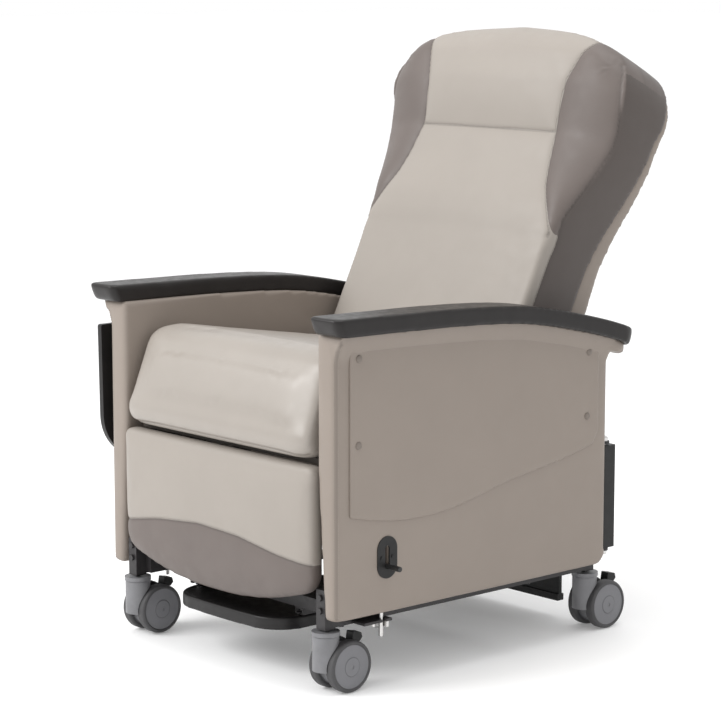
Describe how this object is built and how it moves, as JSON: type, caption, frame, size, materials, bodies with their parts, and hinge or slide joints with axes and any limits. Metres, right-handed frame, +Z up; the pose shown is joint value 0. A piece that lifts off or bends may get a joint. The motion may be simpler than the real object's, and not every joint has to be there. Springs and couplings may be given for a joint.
{
  "type": "patient recliner chair",
  "caption": "Wheeled hospital recliner: winged back and leg rest that move together, swing-away arms with drop latches, a pull-out foot tray and a fold-down side table.",
  "frame": {"origin": "on the floor, under the middle of the chair's width and depth at rest", "axes": "+X to the sitter's left, +Y to the back of the chair, +Z up; the sitter faces -Y"},
  "size_m": [0.768, 1.0345, 1.2148],
  "materials": {
    "light_vinyl": "satin",
    "taupe_vinyl": "satin",
    "arm_cap_black": "satin",
    "frame_charcoal": "satin",
    "black_plastic": "satin",
    "caster_grey": "satin",
    "wheel_grey": "matte",
    "bright_steel": "satin",
    "deck_wood": "matte",
    "tray_grey": "satin"
  },
  "bodies": {
    "base": {"left_side_frame": "frame_charcoal", "right_side_frame": "frame_charcoal", "cross_bars": "frame_charcoal", "pivot_pins": "bright_steel", "frame_fasteners": "frame_charcoal", "latch_brackets": "frame_charcoal", "latch_keepers": "bright_steel", "rear_skirt": "black_plastic", "skirt_bar": "black_plastic", "tray_rails": "frame_charcoal", "seat_deck": "deck_wood", "seat_cushion": "light_vinyl"},
    "front_left_caster": {"front_left_caster_housing": "caster_grey"},
    "front_left_inner_wheel": {"front_left_inner_wheel": "wheel_grey"},
    "front_left_outer_wheel": {"front_left_outer_wheel": "wheel_grey"},
    "front_left_pedal": {"front_left_brake_pedal": "black_plastic"},
    "front_right_caster": {"front_right_caster_housing": "caster_grey"},
    "front_right_inner_wheel": {"front_right_inner_wheel": "wheel_grey"},
    "front_right_outer_wheel": {"front_right_outer_wheel": "wheel_grey"},
    "front_right_pedal": {"front_right_brake_pedal": "black_plastic"},
    "rear_left_caster": {"rear_left_caster_housing": "caster_grey"},
    "rear_left_inner_wheel": {"rear_left_inner_wheel": "wheel_grey"},
    "rear_left_outer_wheel": {"rear_left_outer_wheel": "wheel_grey"},
    "rear_left_pedal": {"rear_left_brake_pedal": "black_plastic"},
    "rear_right_caster": {"rear_right_caster_housing": "caster_grey"},
    "rear_right_inner_wheel": {"rear_right_inner_wheel": "wheel_grey"},
    "rear_right_outer_wheel": {"rear_right_outer_wheel": "wheel_grey"},
    "rear_right_pedal": {"rear_right_brake_pedal": "black_plastic"},
    "leg_swing": {"swing_link": "frame_charcoal"},
    "leg_fold": {"fold_link": "frame_charcoal"},
    "leg_rest": {"leg_rest_panel": "frame_charcoal", "leg_rest_cushion": "light_vinyl"},
    "drive": {"drive_links": "frame_charcoal"},
    "back": {"back_cushion": "light_vinyl", "back_shell": "light_vinyl", "back_frame": "frame_charcoal", "back_levers": "frame_charcoal", "push_handle": "black_plastic"},
    "gas_cylinder": {"gas_spring_cylinder": "frame_charcoal"},
    "gas_rod": {"gas_spring_rod": "bright_steel"},
    "foot_tray": {"foot_tray": "tray_grey", "tray_runners": "bright_steel"},
    "left_arm": {"left_arm": "light_vinyl", "left_arm_cap": "arm_cap_black", "left_arm_panel": "light_vinyl", "left_panel_buttons": "light_vinyl", "left_latch_plate": "black_plastic", "left_hinge_cover": "black_plastic", "left_hinge_leaf": "bright_steel"},
    "left_latch": {"left_latch_rod": "bright_steel"},
    "right_arm": {"right_arm": "light_vinyl", "right_arm_cap": "arm_cap_black", "right_arm_panel": "light_vinyl", "right_panel_buttons": "light_vinyl", "right_latch_plate": "black_plastic", "right_hinge_cover": "black_plastic", "right_hinge_leaf": "bright_steel", "table_hinge": "frame_charcoal"},
    "right_latch": {"right_latch_rod": "bright_steel"},
    "side_table": {"side_table": "tray_grey"}
  },
  "joints": [
    {"name": "front_left_swivel", "type": "hinge", "parent": "base", "child": "front_left_caster", "pos_m": [0.292, -0.46726, 0.12], "axis": [0, 0, 1], "continuous": true},
    {"name": "front_left_inner_roll", "type": "hinge", "parent": "front_left_caster", "child": "front_left_inner_wheel", "pos_m": [0.292, -0.43126, 0.05], "axis": [-1, 0, 0], "continuous": true},
    {"name": "front_left_outer_roll", "type": "hinge", "parent": "front_left_caster", "child": "front_left_outer_wheel", "pos_m": [0.292, -0.43126, 0.05], "axis": [-1, 0, 0], "continuous": true},
    {"name": "front_left_brake", "type": "hinge", "parent": "front_left_caster", "child": "front_left_pedal", "pos_m": [0.292, -0.41126, 0.076], "axis": [-1, 0, 0], "range_deg": [0, 12]},
    {"name": "front_right_swivel", "type": "hinge", "parent": "base", "child": "front_right_caster", "pos_m": [-0.292, -0.46726, 0.12], "axis": [0, 0, 1], "continuous": true},
    {"name": "front_right_inner_roll", "type": "hinge", "parent": "front_right_caster", "child": "front_right_inner_wheel", "pos_m": [-0.292, -0.43126, 0.05], "axis": [-1, 0, 0], "continuous": true},
    {"name": "front_right_outer_roll", "type": "hinge", "parent": "front_right_caster", "child": "front_right_outer_wheel", "pos_m": [-0.292, -0.43126, 0.05], "axis": [-1, 0, 0], "continuous": true},
    {"name": "front_right_brake", "type": "hinge", "parent": "front_right_caster", "child": "front_right_pedal", "pos_m": [-0.292, -0.41126, 0.076], "axis": [-1, 0, 0], "range_deg": [0, 12]},
    {"name": "rear_left_swivel", "type": "hinge", "parent": "base", "child": "rear_left_caster", "pos_m": [0.292, 0.23974, 0.12], "axis": [0, 0, 1], "continuous": true},
    {"name": "rear_left_inner_roll", "type": "hinge", "parent": "rear_left_caster", "child": "rear_left_inner_wheel", "pos_m": [0.292, 0.27574, 0.05], "axis": [-1, 0, 0], "continuous": true},
    {"name": "rear_left_outer_roll", "type": "hinge", "parent": "rear_left_caster", "child": "rear_left_outer_wheel", "pos_m": [0.292, 0.27574, 0.05], "axis": [-1, 0, 0], "continuous": true},
    {"name": "rear_left_brake", "type": "hinge", "parent": "rear_left_caster", "child": "rear_left_pedal", "pos_m": [0.292, 0.29574, 0.076], "axis": [-1, 0, 0], "range_deg": [0, 12]},
    {"name": "rear_right_swivel", "type": "hinge", "parent": "base", "child": "rear_right_caster", "pos_m": [-0.292, 0.23974, 0.12], "axis": [0, 0, 1], "continuous": true},
    {"name": "rear_right_inner_roll", "type": "hinge", "parent": "rear_right_caster", "child": "rear_right_inner_wheel", "pos_m": [-0.292, 0.27574, 0.05], "axis": [-1, 0, 0], "continuous": true},
    {"name": "rear_right_outer_roll", "type": "hinge", "parent": "rear_right_caster", "child": "rear_right_outer_wheel", "pos_m": [-0.292, 0.27574, 0.05], "axis": [-1, 0, 0], "continuous": true},
    {"name": "rear_right_brake", "type": "hinge", "parent": "rear_right_caster", "child": "rear_right_pedal", "pos_m": [-0.292, 0.29574, 0.076], "axis": [-1, 0, 0], "range_deg": [0, 12]},
    {"name": "back_recline", "type": "hinge", "parent": "base", "child": "back", "pos_m": [0, 0.11074, 0.52], "axis": [-1, 0, 0], "range_deg": [0, 45]},
    {"name": "swing_link_turn", "type": "hinge", "parent": "base", "child": "leg_swing", "pos_m": [0, -0.37926, 0.38], "axis": [-1, 0, 0], "range_deg": [0, 109.01]},
    {"name": "fold_link_turn", "type": "hinge", "parent": "leg_swing", "child": "leg_fold", "pos_m": [0, -0.28526, 0.238], "axis": [-1, 0, 0], "range_deg": [-74.01, 0]},
    {"name": "leg_rest_tilt", "type": "hinge", "parent": "leg_fold", "child": "leg_rest", "pos_m": [0, -0.44226, 0.356], "axis": [-1, 0, 0], "range_deg": [0, 38.01]},
    {"name": "drive_link_turn", "type": "hinge", "parent": "back", "child": "drive", "pos_m": [0, 0.13574, 0.41], "axis": [-1, 0, 0], "range_deg": [-47.5, 0]},
    {"name": "gas_spring_lean", "type": "hinge", "parent": "base", "child": "gas_cylinder", "pos_m": [0, 0.07074, 0.205], "axis": [-1, 0, 0], "range_deg": [0, 6.8]},
    {"name": "gas_rod_slide", "type": "slide", "parent": "gas_cylinder", "child": "gas_rod", "axis": [0, 0.2577, 0.9662], "range_m": [-0.0495, 0]},
    {"name": "foot_tray_slide", "type": "slide", "parent": "base", "child": "foot_tray", "axis": [0, -1, 0], "range_m": [0, 0.25]},
    {"name": "left_arm_swing", "type": "hinge", "parent": "base", "child": "left_arm", "pos_m": [0.318, 0.26274, 0.28], "axis": [0, 0, 1], "range_deg": [0, 100]},
    {"name": "left_latch_lift", "type": "slide", "parent": "left_arm", "child": "left_latch", "axis": [0, 0, 1], "range_m": [0, 0.035]},
    {"name": "right_arm_swing", "type": "hinge", "parent": "base", "child": "right_arm", "pos_m": [-0.318, 0.26274, 0.28], "axis": [0, 0, -1], "range_deg": [0, 100]},
    {"name": "right_latch_lift", "type": "slide", "parent": "right_arm", "child": "right_latch", "axis": [0, 0, 1], "range_m": [0, 0.035]},
    {"name": "side_table_flip", "type": "hinge", "parent": "right_arm", "child": "side_table", "pos_m": [-0.366, -0.25926, 0.642], "axis": [0, 1, 0], "range_deg": [0, 90]}
  ],
  "couplings": [
    {"joint": "swing_link_turn", "follows": "back_recline", "ratio": 2.4222},
    {"joint": "fold_link_turn", "follows": "back_recline", "ratio": -1.6444},
    {"joint": "leg_rest_tilt", "follows": "back_recline", "ratio": 0.84444},
    {"joint": "drive_link_turn", "follows": "back_recline", "ratio": -1.054},
    {"joint": "gas_spring_lean", "follows": "back_recline", "ratio": 0.1487},
    {"joint": "gas_rod_slide", "follows": "back_recline", "m_per_rad": -0.0627}
  ]
}
